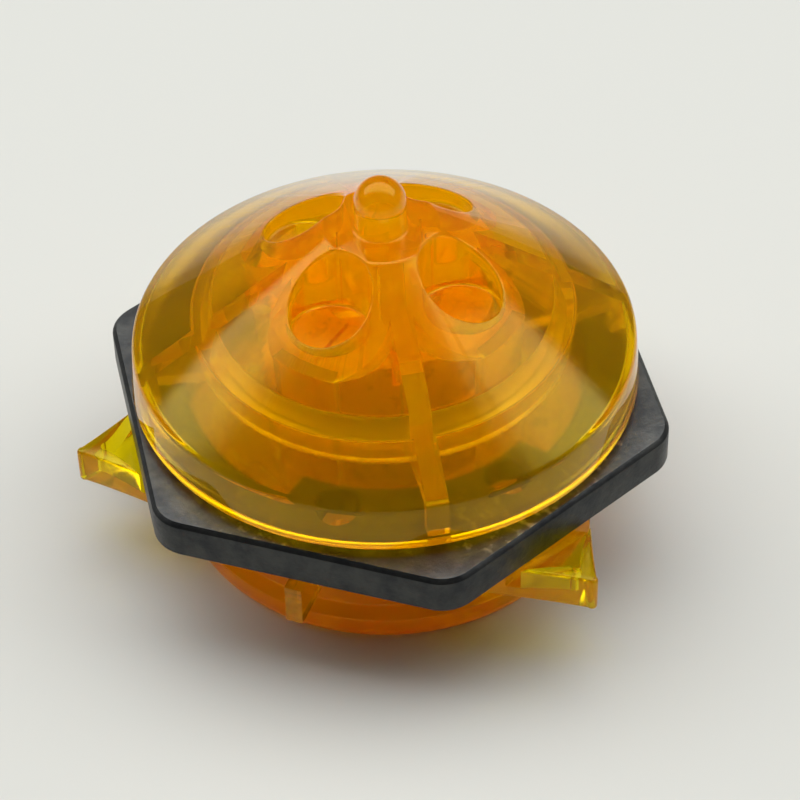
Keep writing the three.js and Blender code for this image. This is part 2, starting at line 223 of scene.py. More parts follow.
shell = {
    "rimGap": 0.8, "rimDiameter": 38, "rimDraft": 0.3, "rimHeight": 3.7, "rimWall": 1.4, "rimRound": 0.7,
    "wall": 1.5, "tipLength": 4.1, "plateauDiameter": 8.4, "plateauRound": 0.45, "tipDiameter": 3.8,
    "ribCount": 4, "ribThickness": 1.6, "ribLift": 2.1, "ribKeyDepth": 1.5,
    "pilasterDepth": 0.9, "pilasterLift": 0.2, "pocketDiameter": 6, "pocketWall": 1.3,
    "pocketCircle": 13.5, "pocketFloor": 1.1, "pocketFloorRound": 0.35, "pocketRound": 0.22,
    "pocketLipSteep": 1.2, "gearDiameter": 18.2, "gearStep": 0.9, "armThickness": 1.1,
    "lugReach": 1.1, "lugSpan": 28, "lugHeight": 1.4, "collarWall": 1.2, "collarLift": 3,
    "edge": 0.12, "around": 480, "polishedRim": 0.3, "polishedRib": 0.05,
}

rimBottom = diskTop + shell["rimGap"]
plateau = tipEnd - shell["tipLength"]
rimRadius = shell["rimDiameter"] / 2
rimInner = rimRadius - shell["rimWall"]
shoulderRadius = rimRadius - shell["rimDraft"]
shoulderTop = rimBottom + shell["rimHeight"]
plateauRadius = shell["plateauDiameter"] / 2
coneSlope = (plateau - shoulderTop) / (shoulderRadius - plateauRadius)
coneDrop = shell["wall"] * math.hypot(1, coneSlope)
gearRadius = shell["gearDiameter"] / 2
armInner = gearRadius + clearance
armOuter = armInner + shell["armThickness"]
lugRadius = armOuter + shell["lugReach"]
diskBore = lugRadius + clearance
collarInner = diskBore + clearance
collarOuter = collarInner + shell["collarWall"]


def coneAt(radius):
    return plateau - (radius - plateauRadius) * coneSlope


def bellyAt(radius):
    return coneAt(radius) - coneDrop


def shellBlock():
    s, edge = shell, shell["edge"]
    tipRadius = s["tipDiameter"] / 2
    cupRadius = s["pocketDiameter"] / 2 + s["pocketWall"]
    hubRadius = max(s["pocketCircle"] / 2 - cupRadius, tipRadius) + s["pocketWall"] / 2
    corners = [
        (hubRadius, shellBelly, 0), (hubRadius, bellyAt(hubRadius), 0.3),
        (collarInner, bellyAt(collarInner), 0.3), (collarInner, rimBottom + s["collarLift"], edge),
        (collarOuter, rimBottom + s["collarLift"], edge), (collarOuter, bellyAt(collarOuter), 0.3),
        (rimInner, bellyAt(rimInner), 0.4), (rimInner, rimBottom, edge), (rimRadius, rimBottom, edge),
        (shoulderRadius, shoulderTop, s["rimRound"]), (plateauRadius, plateau, s["plateauRound"]),
        (tipRadius, plateau, 0.3), (tipRadius, tipEnd - tipRadius, 0),
    ]
    profile = roundedProfile(corners)
    swing = np.radians(np.linspace(0, 88, 20))[1:]
    crown = np.column_stack([
        tipRadius * np.cos(swing),
        tipEnd - tipRadius * (1 - np.sin(swing)),
    ])
    return revolve(np.vstack([profile, crown]), s["around"]), hubRadius


def pocketCutter():
    # One pocket: floor, rounded floor edge, straight wall, and a mouth that rounds over into the cone
    s = shell
    radius, lip, floorRound = s["pocketDiameter"] / 2, s["pocketRound"], s["pocketFloorRound"]
    floor = shellBelly + s["pocketFloor"]
    angle = np.linspace(0, 2 * np.pi, 96, endpoint=False)
    swing = np.radians(np.linspace(0, 90, 7))

    def ring(ringRadius, height, onCone):
        x = s["pocketCircle"] / 2 + ringRadius * np.cos(angle)
        y = ringRadius * np.sin(angle)
        top = np.minimum(plateau, coneAt(np.hypot(x, y)))
        return np.column_stack([x, y, top + height if onCone else np.full_like(x, height)])

    rows = [ring(radius * 0.5, floor, False)]
    for a in swing:
        height = floor + floorRound * (1 - math.cos(a))
        rows.append(ring(radius - floorRound * (1 - math.sin(a)), height, False))
    for a in swing:
        height = lip * (math.sin(a) - 1) * s["pocketLipSteep"]
        rows.append(ring(radius + lip * (1 - math.cos(a)), height, True))
    rows.append(ring(radius + lip, tipEnd, False))
    return gridBlock(np.stack(rows))


def markFaces(piece, label, amount):
    # Stores a number on each face, worked out from the place of its middle (r, z, x, y)
    mesh = piece.data
    middle = np.empty(len(mesh.polygons) * 3, np.float32)
    mesh.polygons.foreach_get("center", middle)
    x, y, z = middle.reshape(-1, 3).T / mm
    mask = mesh.attributes.new(label, "FLOAT", "FACE")
    mask.data.foreach_set("value", amount(np.hypot(x, y), z, x, y).astype(np.float32))
    return piece


def shellMatt(r, z, x, y):
    # 1 on the mould's core side, except its polished rim and ribs, and 0 on the polished outside
    under = np.minimum(plateau, coneAt(r)) - z > shell["wall"] / 2
    onRib = np.minimum(np.abs(x), np.abs(y)) < shell["ribThickness"] / 2 + shell["polishedRib"]
    return under * (r < rimInner - shell["polishedRim"]) * ~onRib


def makeShell():
    s = shell
    turned, hubRadius = shellBlock()
    halfWall = coneDrop / 2
    keyLevel = gearTop - s["ribKeyDepth"]
    barrel = gearRadius - s["gearStep"]
    ribLevel = rimBottom + s["ribLift"]
    pilaster, pilasterLevel = rimInner - s["pilasterDepth"], rimBottom + s["pilasterLift"]
    ribEnd = rimRadius - s["rimWall"] / 2
    underPlateau = coneAt(plateauRadius) - halfWall
    rib = uprightPlate([
        (hubRadius / 2, keyLevel), (barrel, keyLevel), (barrel, shellBelly), (armInner, shellBelly),
        (armInner, ribLevel), (pilaster, ribLevel), (pilaster, pilasterLevel), (ribEnd, pilasterLevel),
        (ribEnd, coneAt(ribEnd) - halfWall), (plateauRadius, underPlateau), (hubRadius / 2, underPlateau),
    ], s["ribThickness"])
    # A cup stands round each pocket, and its top lies in the middle of the cone's wall
    cupRadius = s["pocketDiameter"] / 2 + s["pocketWall"]
    cupRows = []
    for share in (1, 1, 0.6, 0.2):
        outline = circle(cupRadius * share, s["pocketCircle"] / 2, steps=96)
        height = np.minimum(plateau, coneAt(np.hypot(*outline.T))) - halfWall
        cupRows.append(np.column_stack([outline, height]) if cupRows else atLevel(outline, shellBelly))
    cup = gridBlock(np.stack(cupRows))
    armMiddle = armInner + s["armThickness"] / 2
    arm = sector(armInner, armOuter, s["lugSpan"], lugBottom, shellBelly + s["pocketFloor"] / 2)
    lug = sector(armMiddle, lugRadius, s["lugSpan"], lugBottom, lugBottom + s["lugHeight"])
    half = 180 / s["ribCount"]
    joins = [ringOf(rib, s["ribCount"])]
    joins += [ringOf(block, s["ribCount"], half) for block in (cup, arm, lug)]
    piece = carve("baseShell", turned, joins, [ringOf(pocketCutter(), s["ribCount"], half)])
    return markFaces(piece, "innerFace", shellMatt)


# Hexagonal weight disk

disk = {
    "overhang": 0.3, "cornerRadius": 3, "edge": 0.32, "edgeRound": 0.1, "boreEdge": 0.25,
    "tabReach": 2.5, "tabSpan": 83, "tabDirections": (90, 270), "pegSpread": 26, "pegWall": 0.5,
    "pegDiameter": 2.6, "pegPlay": 0.3, "around": 720, "flatDepth": 0.03,
}

pegHole = disk["pegDiameter"] / 2 + disk["pegPlay"]
pegCircle = diskBore + disk["pegWall"] + pegHole


def hexOutline(inset, around):
    # Distance to the edge of a hexagon with round corners, along each angle from the middle
    angle = np.linspace(0, 2 * np.pi, around, endpoint=False)
    flat = rimRadius + disk["overhang"] - inset
    corner = disk["cornerRadius"] - inset
    local = (angle + math.pi / 6) % (math.pi / 3) - math.pi / 6
    straight = flat / np.cos(local)
    middle = (flat - corner) / math.cos(math.pi / 6)
    fromCorner = math.pi / 6 - np.abs(local)
    aside = middle * np.sin(fromCorner)
    onArc = middle * np.cos(fromCorner) + np.sqrt(np.maximum(corner ** 2 - aside ** 2, 0))
    arcStart = math.atan2(corner + (flat - corner), (flat - corner) * math.tan(math.pi / 6))
    inArc = np.abs(local) > math.pi / 2 - arcStart
    return angle, np.where(inArc, onArc, straight)


def mouthCutter(outline, edge):
    # An outline cut right through the disk, widened to a small bevel at both faces
    levels = [
        (diskBottom - overshoot, -edge), (diskBottom, -edge), (diskBottom + edge, 0),
        (diskTop - edge, 0), (diskTop, -edge), (diskTop + overshoot, -edge),
    ]
    return gridBlock(np.stack([atLevel(insetOutline(outline, inset), z) for z, inset in levels]))


def atPegs(block):
    # A pair of copies on each tab of the disk
    sides = (-disk["pegSpread"], disk["pegSpread"])
    return [turnBlock(block, middle + side) for middle in disk["tabDirections"] for side in sides]


def makeDisk():
    d = disk
    edge, lip = d["edge"], d["edgeRound"]
    outer = [(edge + lip, 0), (edge, 0.01), (edge * 0.5, edge * 0.45), (0.02, edge), (0, edge + lip)]
    low = [(i, diskBottom + z) for i, z in outer]
    high = [(i, diskTop - z) for i, z in outer[::-1]]
    rows = []
    for inset, z in low + high:
        angle, radius = hexOutline(inset, d["around"])
        rows.append(atLevel(np.column_stack([radius * np.cos(angle), radius * np.sin(angle)]), z))
    mouth, bevel = diskBore + d["boreEdge"], d["boreEdge"]
    bore = [
        (mouth, diskTop), (diskBore, diskTop - bevel),
        (diskBore, diskBottom + bevel), (mouth, diskBottom),
    ]
    rows += [atLevel(circle(radius, steps=d["around"]), z) for radius, z in bore]
    half = (180 - d["tabSpan"]) / 2
    swing = np.radians(np.linspace(-half, half, 60))
    arc = np.column_stack([np.cos(swing), np.sin(swing)])
    outline = np.vstack([(diskBore + d["tabReach"]) * arc, (diskBore - overshoot) * arc[::-1]])
    cutout = mouthCutter(outline, d["boreEdge"])
    hole = mouthCutter(circle(pegHole, pegCircle), d["boreEdge"] / 2)
    cuts = [turnBlock(cutout, middle + 90) for middle in d["tabDirections"]] + atPegs(hole)
    piece = carve("weightDisk", gridBlock(np.stack(rows), closed=True), (), cuts, 25)
    top, bottom = diskTop - d["flatDepth"], diskBottom + d["flatDepth"]
    return markFaces(piece, "flatFace", lambda r, z, x, y: (z > top) | (z < bottom))


# Attack ring with its wings, fins, pegs and stops

ring = {
    "turn": -2.6, "chipDiameter": 12, "chipThickness": 2.2, "webThickness": 1.2,
    "plateThickness": 1.7, "bodyRoom": 1.1, "bodyWall": 2.2, "lipReach": 0.8, "lipBevel": 1.2,
    "lipHeight": 1.1, "plateRadius": 17.5, "postBore": 3.6, "postRelief": 4.3, "postRadius": 6.1,
    "legGrip": 2.8, "slotWall": 0.7, "slotWidth": 1.5, "slotSpan": 56, "notchPlay": 3, "twist": 45,
    "wingCount": 3, "wingDirection": 60, "wingSpan": 47.2, "wingHeight": 3, "wingRootWidth": 12.4,
    "wingRootOverlap": 0.4, "wingDrop": 0.02, "wingWaistReach": 2.7, "wingWaistWidth": 5,
    "wingTipWidth": 0.8, "wingEdge": 0.24, "wingWall": 0.9, "wingFloor": 1.1, "finDirection": 120,
    "finWidth": 1.3, "finReach": 1.9, "finHeight": 3.8, "finDrop": 0.4, "pegHeight": 1.7,
    "pegRoot": 0.3, "stopPlay": 0.02, "stopRoot": 0.6, "stopOverlap": 0.8,
}

seatRadius = ring["chipDiameter"] / 2 + clearance
seatTop = ring["chipThickness"] + clearance
webTop = seatTop + ring["webThickness"]
plateBottom = ringTop - ring["plateThickness"]
bodyInner = lugRadius + clearance + ring["bodyRoom"]
bodyOuter = bodyInner + ring["bodyWall"]
slotInner = seatRadius + ring["slotWall"]
slotOuter = slotInner + ring["slotWidth"]


def wingOutline(start, rootHalf, waistHalf, tip, tipHalf):
    # Concave flanks as curves from the ring's edge to a small round at the tip
    waist = ring["plateRadius"] + ring["wingWaistReach"]
    flank = bezier((start, -rootHalf), (waist, -waistHalf), (tip - tipHalf, -tipHalf), 28)
    swing = np.radians(np.linspace(-90, 90, 13))[1:-1]
    nose = np.column_stack([tip - tipHalf + tipHalf * np.cos(swing), tipHalf * np.sin(swing)])
    return np.vstack([flank, nose, flank[::-1] * (1, -1)])


def wingBlock():
    r = ring
    edge, bottom = r["wingEdge"], ringTop - r["wingHeight"]
    rootHalf = r["wingRootWidth"] / 2
    start = math.sqrt((r["plateRadius"] - r["wingRootOverlap"]) ** 2 - rootHalf ** 2)
    tip, tipHalf = r["wingSpan"] / 2, r["wingTipWidth"] / 2
    outline = wingOutline(start, rootHalf, r["wingWaistWidth"] / 2, tip, tipHalf)
    root = bodyInner + r["bodyWall"] / 2
    outline = np.vstack([outline, [[root, rootHalf], [root, -rootHalf]]])
    swing = np.radians(np.linspace(0, 90, 5))
    rows = [(edge * (1 - math.sin(a)), bottom + edge * (1 - math.cos(a))) for a in swing]
    top = ringTop - r["wingDrop"]
    rows += [(edge * (1 - math.cos(a)), top - edge * (1 - math.sin(a))) for a in swing]
    return gridBlock(np.stack([atLevel(insetOutline(outline, inset), z) for inset, z in rows]))


def makeRing():
    r = ring
    lip, lipTop = bodyOuter + r["lipReach"], r["lipBevel"] + r["lipHeight"]
    throat = armOuter + clearance
    reliefLevel = seatTop + r["legGrip"] - clearance
    corners = [
        (r["postBore"], seatTop, 0.1), (seatRadius, seatTop, 0.15), (seatRadius, 0, 0.15),
        (lip, 0, r["lipBevel"]), (lip, lipTop, 0.3), (bodyOuter, lipTop + r["lipReach"], 0.5),
        (bodyOuter, plateBottom, 0.7), (r["plateRadius"], plateBottom, 0.25),
        (r["plateRadius"], ringTop, 0.35), (throat, ringTop, 0.12), (throat, plateBottom, 0.1),
        (bodyInner, plateBottom, 0.3), (bodyInner, webTop, 0.3), (r["postRadius"], webTop, 0.3),
        (r["postRadius"], ringTop, 0.2), (r["postRelief"], ringTop, 0.1),
        (r["postRelief"], reliefLevel, 0.1), (r["postBore"], reliefLevel, 0.1),
    ]
    profile = roundedProfile(corners, 5, closed=True)
    body = revolve(profile, around=240, closed=True)
    finRoot, finEnd = bodyOuter - overshoot, r["plateRadius"] + r["finReach"]
    finBottom, finTop = ringTop - r["finHeight"], ringTop - r["finDrop"]
    fin = uprightPlate([
        (finRoot, finBottom), (finEnd, finBottom), (finEnd, finTop), (finRoot, finTop),
    ], r["finWidth"])
    pegOutline = circle(disk["pegDiameter"] / 2, pegCircle, steps=48)
    peg = prism(pegOutline, plateBottom + r["pegRoot"], ringTop + r["pegHeight"])
    pitch = 360 / shell["ribCount"]
    stopPlay = math.degrees(clearance / lugRadius)
    stopSpan = pitch - r["twist"] - shell["lugSpan"] - 2 * stopPlay
    stop = sector(throat + r["stopPlay"], bodyInner + overshoot, stopSpan,
                  webTop - r["stopRoot"], plateBottom + r["stopOverlap"])
    slot = sector(slotInner, slotOuter, r["slotSpan"], -overshoot, webTop + overshoot, 32)
    notch = sector(armOuter - overshoot, lugRadius + clearance, shell["lugSpan"] + 2 * r["notchPlay"],
                   plateBottom - overshoot, ringTop + overshoot)
    inset = r["wingWall"]
    hollow = wingOutline(
        r["plateRadius"] + inset, r["wingRootWidth"] / 2 - 1.4 * inset, r["wingWaistWidth"] / 2 - inset,
        r["wingSpan"] / 2 - 2 * inset, r["wingTipWidth"] / 2)
    pocket = prism(hollow, ringTop - r["wingHeight"] + r["wingFloor"], ringTop + overshoot)
    joins = [
        ringOf(wingBlock(), r["wingCount"], r["wingDirection"] + r["turn"]),
        ringOf(fin, r["wingCount"], r["finDirection"] + r["turn"]),
        gather(atPegs(peg)),
        ringOf(stop, shell["ribCount"], pitch * 1.5 - (pitch - r["twist"]) / 2),
    ]
    cuts = [
        ringOf(slot, 2, pitch * 1.5),
        ringOf(notch, shell["ribCount"], pitch / 2 + r["twist"]),
        ringOf(pocket, r["wingCount"], r["wingDirection"] + r["turn"]),
    ]
    return carve("attackRing", body, joins, cuts)


# Face chip with its snap legs

chip = {
    "edge": 0.5, "legDiameter": 6.6, "legWall": 0.9, "legSpan": 56, "legRoot": 0.4, "barbReach": 0.7,
    "barbHeight": 1.1, "poleRadius": 0.2,
}


def makeChip():
    c = chip
    radius, top, pole = ring["chipDiameter"] / 2, ring["chipThickness"], c["poleRadius"]
    profile = roundedProfile([
        (pole, 0, 0), (radius - c["edge"], 0, 0.3), (radius, c["edge"], 0.3), (radius, top, 0.15),
        (pole, top, 0),
    ])
    legRadius = c["legDiameter"] / 2
    grip = seatTop + ring["legGrip"]
    tall = grip + c["barbHeight"]
    legAngle = np.radians(np.linspace(-c["legSpan"] / 2, c["legSpan"] / 2, 16))
    legInner, legFoot = legRadius - c["legWall"], top - c["legRoot"]
    section = roundedProfile([
        (legInner, legFoot, 0), (legRadius, legFoot, 0), (legRadius, grip, 0.05),
        (legRadius + c["barbReach"], grip, 0.1), (legRadius, tall, 0.1), (legInner, tall, 0.1),
    ], 3, closed=True)
    # The leg's section (r, z) is carried round an arc: (r cos a, r sin a, z)
    r, z = section.T
    arc = np.stack([np.column_stack([r * math.cos(a), r * math.sin(a), z]) for a in legAngle[::-1]])
    return carve("faceChip", revolve(profile, 128), [ringOf(gridBlock(arc), 4)])


# Spin gear halves and their core

gear = {
    "coreDiameter": 8.2, "collarReach": 0.9, "collarHeight": 2, "collarLift": 5.6, "flangeHeight": 5.4,
    "step": 0.9, "wall": 1.2, "ribWall": 1.1, "hookSpan": 76, "hookMouth": 2, "hookDepth": 4.2,
    "hookOverlap": 0.3, "socketDiameter": 4, "socketDepth": 3.5, "edge": 0.15, "poleRadius": 0.1,
}


def makeGearHalf(name, direction):
    # A hollow barrel cut lengthways, with two ribs inside that hold the core by its collar
    g, edge = gear, gear["edge"]
    bore = g["coreDiameter"] / 2 + clearance
    ribBottom = gearBottom + g["collarLift"] - clearance
    ribTop = ribBottom + g["collarHeight"] + 2 * clearance
    flange = gearBottom + g["flangeHeight"]
    barrelRadius = gearRadius - g["step"]
    flangeWall, barrelWall = gearRadius - g["wall"], barrelRadius - g["wall"]
    corners = [
        (bore, gearBottom, edge), (gearRadius, gearBottom, 0.3), (gearRadius, flange, 0.2),
        (barrelRadius, flange + g["step"] / 2, 0.2), (barrelRadius, gearTop, edge), (bore, gearTop, edge),
        (bore, gearTop - g["wall"], edge), (barrelWall, gearTop - g["wall"], edge),
        (barrelWall, ribTop + g["ribWall"], edge), (bore, ribTop + g["ribWall"], edge),
        (bore, ribTop, edge), (barrelWall, ribTop, edge),
        (barrelWall, ribBottom, edge), (bore, ribBottom, edge),
        (bore, ribBottom - g["ribWall"], edge), (flangeWall, ribBottom - g["ribWall"], edge),
        (flangeWall, gearBottom + g["hookMouth"], edge), (bore, gearBottom + g["hookMouth"], edge),
    ]
    profile = roundedProfile(corners, 4, closed=True)
    barrel = revolve(profile, 160, closed=True)
    reach = gearRadius * 2
    split, under, over = clearance / 2, gearBottom - overshoot, gearTop + overshoot
    other = prism([(-reach, -reach), (split, -reach), (split, reach), (-reach, reach)], under, over)
    keyStart, keyFloor = 0.02, gearTop - shell["ribKeyDepth"] - clearance
    key = uprightPlate([
        (keyStart, keyFloor), (reach, keyFloor), (reach, over), (keyStart, over),
    ], shell["ribThickness"] + 2 * clearance)
    hookStart, hookEnd = gearBottom + g["hookMouth"], gearBottom + g["hookDepth"]
    mouth = sector(slotInner, slotOuter, ring["slotSpan"], under, hookStart + g["hookOverlap"])
    hook = sector(slotInner, slotOuter, g["hookSpan"], hookStart, hookEnd)
    cuts = [turnBlock(other, direction)]
    cuts += [turnBlock(key, 360 * k / shell["ribCount"]) for k in range(shell["ribCount"])]
    cuts += [turnBlock(mouth, direction), turnBlock(hook, direction)]
    return carve(name, barrel, (), cuts)


def makeCore():
    g, edge = gear, gear["edge"]
    radius = g["coreDiameter"] / 2
    low = gearBottom + g["collarLift"]
    high = low + g["collarHeight"]
    socket, socketEnd = g["socketDiameter"] / 2, gearBottom + g["socketDepth"]
    collar, pole = radius + g["collarReach"], g["poleRadius"]
    corners = [
        (pole, socketEnd, 0), (socket, socketEnd, edge), (socket, gearBottom, edge),
        (radius, gearBottom, edge), (radius, low, 0), (collar, low, edge), (collar, high, edge),
        (radius, high, 0), (radius, coreTop, edge), (pole, coreTop, 0),
    ]
    return carve("gearCore", revolve(roundedProfile(corners, 4), 96))


# Materials

def newMaterial(name):
    material = bpy.data.materials.new(name)
    material.use_nodes = True
    tree = material.node_tree
    tree.nodes.clear()
    return material, tree


def addNode(tree, kind, **values):
    node = tree.nodes.new(kind)
    for key, value in values.items():
        if key in node.inputs:
            node.inputs[key].default_value = value
        else:
            setattr(node, key, value)
    return node


def mapRange(tree, source=(0.0, 1.0), target=(0.0, 1.0), smooth=False):
    # Values from one range carried to another, straight or along a smooth step
    node = addNode(tree, "ShaderNodeMapRange", interpolation_type="SMOOTHSTEP" if smooth else "LINEAR")
    labels = ("From Min", "From Max", "To Min", "To Max")
    for label, value in zip(labels, source + target):
        node.inputs[label].default_value = value
    return node


def mouldedSkin():
    # Group: slow waviness of a moulded face, fine handling marks and a cloudy change of tint
    tree = bpy.data.node_groups.new("mouldedSkin", "ShaderNodeTree")
    defaults = {"waveScale": 90.0, "markScale": 700.0, "lowRough": 0.03, "highRough": 0.1}
    for label, value in defaults.items():
        socket = tree.interface.new_socket(label, in_out="INPUT", socket_type="NodeSocketFloat")
        socket.default_value = value
    for label in ("height", "rough", "cloud"):
        tree.interface.new_socket(label, in_out="OUTPUT", socket_type="NodeSocketFloat")
    source = addNode(tree, "NodeGroupInput")
    result = addNode(tree, "NodeGroupOutput")
    place = addNode(tree, "ShaderNodeTexCoord")
    wave = addNode(tree, "ShaderNodeTexNoise", Detail=2.0, Roughness=0.4)
    marks = addNode(tree, "ShaderNodeTexNoise", Detail=6.0, Roughness=0.65)
    spread = mapRange(tree, source=(0.42, 0.72))
    links = tree.links
    links.new(place.outputs["Object"], wave.inputs["Vector"])
    links.new(place.outputs["Object"], marks.inputs["Vector"])
    links.new(source.outputs["waveScale"], wave.inputs["Scale"])
    links.new(source.outputs["markScale"], marks.inputs["Scale"])
    links.new(marks.outputs["Fac"], spread.inputs["Value"])
    links.new(source.outputs["lowRough"], spread.inputs["To Min"])
    links.new(source.outputs["highRough"], spread.inputs["To Max"])
    links.new(wave.outputs["Fac"], result.inputs["height"])
    links.new(spread.outputs["Result"], result.inputs["rough"])
    links.new(wave.outputs["Fac"], result.inputs["cloud"])
    return tree


# One tinted plastic in three grades. depth is how fast its thickness takes light away, per metre,
# and haze how much of the light it scatters
amber = {
    "ior": 1.46, "bump": 0.02, "bumpDepth": 0.001, "marked": 2.5, "gleam": (1.0, 0.95, 0.2, 1),
    "absorbColour": (0.9995, 0.976, 0.0, 1), "hazeForward": 0.1,
    "shell": {
        "clear": 1.0, "depth": 2000, "haze": 170, "wave": 80, "polished": 0.03, "matt": 0.2,
        "pale": (1.0, 0.88, 0.03, 1), "warm": (1.0, 0.82, 0.02, 1),
    },
    "ring": {
        "clear": 1.0, "depth": 1400, "haze": 90, "wave": 110, "polished": 0.06, "matt": 0.25,
        "pale": (1.0, 0.88, 0.03, 1), "warm": (1.0, 0.82, 0.02, 1),
    },
    "inner": {
        "clear": 0.15, "depth": 2000, "haze": 150, "wave": 140, "polished": 0.25, "matt": 0.4,
        "pale": (1.0, 0.54, 0.012, 1), "warm": (1.0, 0.48, 0.01, 1),
    },
}


def amberPlastic(name, skin, grade):
    # Amber plastic, polished outside and matt where the innerFace attribute marks the mould's core side
    material, tree = newMaterial(name)
    links = tree.links
    g = amber[grade]
    result = addNode(tree, "ShaderNodeOutputMaterial")
    surface = addNode(tree, "ShaderNodeBsdfPrincipled", IOR=amber["ior"], Metallic=0.0)
    surface.inputs["Transmission Weight"].default_value = g["clear"]
    surface.inputs["Specular Tint"].default_value = amber["gleam"]
    marks = addNode(tree, "ShaderNodeGroup", node_tree=skin)
    marks.inputs["waveScale"].default_value = g["wave"]
    marks.inputs["lowRough"].default_value = g["polished"]
    marks.inputs["highRough"].default_value = g["polished"] * amber["marked"]
    inner = addNode(tree, "ShaderNodeAttribute", attribute_name="innerFace")
    rough = addNode(tree, "ShaderNodeMix")
    rough.inputs["B"].default_value = g["matt"]
    tint = addNode(tree, "ShaderNodeMix", data_type="RGBA")
    tint.inputs[6].default_value = g["pale"]
    tint.inputs[7].default_value = g["warm"]
    bump = addNode(tree, "ShaderNodeBump", Strength=amber["bump"], Distance=amber["bumpDepth"])
    depth = addNode(tree, "ShaderNodeVolumeAbsorption", Color=amber["absorbColour"])
    depth.inputs["Density"].default_value = g["depth"]
    haze = addNode(tree, "ShaderNodeVolumeScatter", Color=(1, 1, 1, 1), Density=g["haze"])
    haze.inputs["Anisotropy"].default_value = amber["hazeForward"]
    inside = addNode(tree, "ShaderNodeAddShader")
    links.new(marks.outputs["cloud"], tint.inputs[0])
    links.new(tint.outputs[2], surface.inputs["Base Color"])
    links.new(inner.outputs["Fac"], rough.inputs["Factor"])
    links.new(marks.outputs["rough"], rough.inputs["A"])
    links.new(rough.outputs["Result"], surface.inputs["Roughness"])
    links.new(marks.outputs["height"], bump.inputs["Height"])
    links.new(bump.outputs["Normal"], surface.inputs["Normal"])
    links.new(surface.outputs["BSDF"], result.inputs["Surface"])
    links.new(depth.outputs["Volume"], inside.inputs[0])
    links.new(haze.outputs["Volume"], inside.inputs[1])
    links.new(inside.outputs["Shader"], result.inputs["Volume"])
    return material


# side is painted shade: the share of its colour that a side face keeps, as if it stood in shade
metal = {
    "side": 0.6, "dark": (0.062, 0.065, 0.069, 1), "pale": (0.105, 0.107, 0.104, 1),
    "worn": (0.26, 0.26, 0.245, 1), "mottle": 600.0, "grain": 2600.0, "fleck": 1300.0, "patch": 70.0,
    "contrast": (0.36, 0.64), "speck": (0.34, 0.48), "finish": (0.3, 0.55), "bump": 0.35,
    "bumpDepth": 0.00008,
}


def castMetal(name):
    # Grey die-cast metal with painted shade that darkens its sides: mottled, grainy, with worn flecks
    # that gather in patches
    material, tree = newMaterial(name)
    links = tree.links
    m = metal
    result = addNode(tree, "ShaderNodeOutputMaterial")
    surface = addNode(tree, "ShaderNodeBsdfPrincipled", Metallic=1.0)
    place = addNode(tree, "ShaderNodeTexCoord")
    flat = addNode(tree, "ShaderNodeAttribute", attribute_name="flatFace")
    mottle = addNode(tree, "ShaderNodeTexNoise", Scale=m["mottle"], Detail=5.0, Roughness=0.6)
    grain = addNode(tree, "ShaderNodeTexNoise", Scale=m["grain"], Detail=3.0, Roughness=0.7)
    fleck = addNode(tree, "ShaderNodeTexNoise", Scale=m["fleck"], Detail=2.0, Roughness=0.5)
    patch = addNode(tree, "ShaderNodeTexNoise", Scale=m["patch"], Detail=1.0)
    contrast = mapRange(tree, source=m["contrast"])
    speck = mapRange(tree, source=m["speck"])
    gathered = addNode(tree, "ShaderNodeMath", operation="MULTIPLY")
    onFlat = addNode(tree, "ShaderNodeMath", operation="MULTIPLY")
    tone = addNode(tree, "ShaderNodeMix", data_type="RGBA")
    tone.inputs[6].default_value = m["dark"]
    tone.inputs[7].default_value = m["pale"]
    worn = addNode(tree, "ShaderNodeMix", data_type="RGBA")
    worn.inputs[7].default_value = m["worn"]
    # Painted shade: shade scales the colour to side on the side faces and to 1 on the flat faces, and
    # finish applies it to the colour
    shade = mapRange(tree, target=(m["side"], 1.0))
    finish = addNode(tree, "ShaderNodeVectorMath", operation="SCALE")
    rough = mapRange(tree, target=m["finish"])
    bump = addNode(tree, "ShaderNodeBump", Strength=m["bump"], Distance=m["bumpDepth"])
    for noise in (mottle, grain, fleck, patch):
        links.new(place.outputs["Object"], noise.inputs["Vector"])
    links.new(mottle.outputs["Fac"], contrast.inputs["Value"])
    links.new(contrast.outputs["Result"], tone.inputs[0])
    links.new(fleck.outputs["Fac"], gathered.inputs[0])
    links.new(patch.outputs["Fac"], gathered.inputs[1])
    links.new(gathered.outputs["Value"], speck.inputs["Value"])
    links.new(speck.outputs["Result"], onFlat.inputs[0])
    links.new(flat.outputs["Fac"], onFlat.inputs[1])
    links.new(onFlat.outputs["Value"], worn.inputs[0])
    links.new(tone.outputs[2], worn.inputs[6])
    links.new(flat.outputs["Fac"], shade.inputs["Value"])
    links.new(worn.outputs[2], finish.inputs["Vector"])
    links.new(shade.outputs["Result"], finish.inputs["Scale"])
    links.new(finish.outputs["Vector"], surface.inputs["Base Color"])
    links.new(grain.outputs["Fac"], rough.inputs["Value"])
    links.new(rough.outputs["Result"], surface.inputs["Roughness"])
    links.new(grain.outputs["Fac"], bump.inputs["Height"])
    links.new(bump.outputs["Normal"], surface.inputs["Normal"])
    links.new(surface.outputs["BSDF"], result.inputs["Surface"])
    return material


# Stage: floor, lights and camera

# Camera worked out from the photograph: the photograph's right, up and view directions about the object
view = {
    "azimuth": -11.32, "elevation": 43.726, "roll": -1.565, "distance": 231.864, "aimX": 1.042,
    "aimZ": -3.554, "lens": 137.707, "sensor": 36,
}
# near and far are the table's colour, with painted shade near the camera and painted light towards the
# back
stage = {
    "floorSize": 3.0, "floorLevel": -0.00002, "near": (0.635, 0.641, 0.611, 1),
    "far": (0.67, 0.677, 0.645, 1), "nearToFar": (-0.02, 0.03), "dimming": (0.06, 0.4), "dim": 0.25,
    "sheen": 0.25, "finish": (0.5, 0.65),
}
light = {
    "colour": (1.0, 1.0, 0.985, 1), "room": 0.05, "panel": 3.2, "backdrop": 0.75,
    "azimuth": 72, "right": -0.12, "back": 0.37, "halfWidth": 1.88, "halfDepth": 0.48, "soft": 0.18,
    "lowest": 0.02,
}


